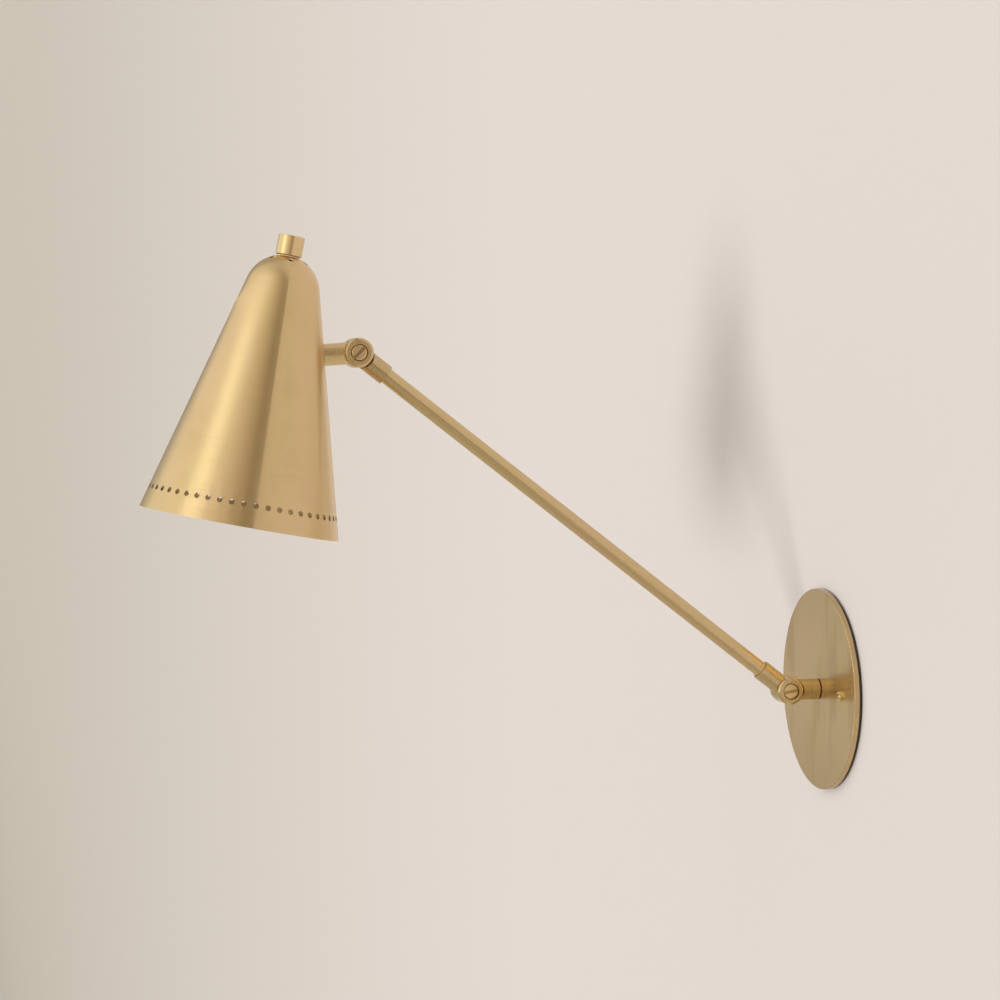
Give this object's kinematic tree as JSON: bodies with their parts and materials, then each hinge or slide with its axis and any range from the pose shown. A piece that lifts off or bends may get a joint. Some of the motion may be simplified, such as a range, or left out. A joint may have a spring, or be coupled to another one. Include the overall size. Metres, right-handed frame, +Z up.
{
  "type": "swing arm wall lamp",
  "caption": "Wall lamp with a round plate, a swivelling post, a straight arm between two friction knuckles and a pierced cone shade with a turn knob on top.",
  "frame": {"origin": "centre of the wall plate, on the plane of the wall that the backing disc is screwed to", "axes": "+Z up, -Y out from the wall into the room, +X along the wall; both knuckle pins lie along X at rest, and the arm rises and the shade leans in the YZ plane"},
  "size_m": [0.1234, 0.4253, 0.339],
  "materials": {
    "satin_brass": "satin lacquered brass, finely brushed",
    "shade_brass": "satin lacquered brass, spun and brushed round the axis",
    "screw_brass": "plain turned brass",
    "black_steel": "black powder coat",
    "zinc_steel": "zinc plated",
    "green_screw": "green ground screw",
    "black_nylon": "moulded nylon",
    "wire_insulation": "insulated wire",
    "switch_plastic": "black phenolic",
    "porcelain": "glazed white porcelain",
    "nickel_plate": "nickel plated brass",
    "frosted_glass": "frosted bulb glass"
  },
  "bodies": {
    "wall": {"mounting_disc": "black_steel", "ground_screw": "green_screw", "wall_plate": "satin_brass", "plate_screws": "screw_brass", "stop_peg": "zinc_steel", "seam_washer": "black_nylon"},
    "post": {"post": "satin_brass", "post_nipple": "zinc_steel", "spring_washer": "zinc_steel", "stop_washer": "zinc_steel", "post_nut": "zinc_steel", "lower_pivot_screw": "screw_brass"},
    "arm": {"lower_sleeve": "satin_brass", "lower_friction_washer": "black_nylon", "arm_tube": "satin_brass", "arm_wires": "wire_insulation", "upper_sleeve": "satin_brass", "upper_pivot_screw": "screw_brass"},
    "shade": {"upper_friction_washer": "black_nylon", "shade": "shade_brass", "shade_stub": "satin_brass", "saddle_washer": "zinc_steel", "stub_nut": "zinc_steel", "bushing_collar": "zinc_steel", "ring_nut": "screw_brass", "switch_bushing": "nickel_plate", "switch_body": "switch_plastic", "switch_cover": "switch_plastic", "holder_hoop": "zinc_steel", "holder_screws": "zinc_steel", "lampholder": "porcelain", "lampholder_shell": "nickel_plate", "lampholder_contact": "screw_brass", "bulb_cap": "nickel_plate", "bulb_contact": "nickel_plate", "bulb_glass": "frosted_glass"},
    "knob": {"knob": "satin_brass", "knob_set_screw": "zinc_steel", "switch_shaft": "zinc_steel", "switch_rotor": "switch_plastic"}
  },
  "joints": [
    {"name": "post_swivel", "type": "hinge", "parent": "wall", "child": "post", "pos_m": [0, -0.0053, 0], "axis": [0, -1, 0], "range_deg": [-170, 170]},
    {"name": "arm_tilt", "type": "hinge", "parent": "post", "child": "arm", "pos_m": [0, -0.025, 0], "axis": [-1, 0, 0], "range_deg": [-128.04, 51.96]},
    {"name": "shade_tilt", "type": "hinge", "parent": "arm", "child": "shade", "pos_m": [0, -0.29104, 0.20816], "axis": [-1, 0, 0], "range_deg": [-48.38, 131.62]},
    {"name": "knob_turn", "type": "hinge", "parent": "shade", "child": "knob", "pos_m": [0, -0.32959, 0.27145], "axis": [0, 0.1929, 0.9812], "continuous": true}
  ]
}
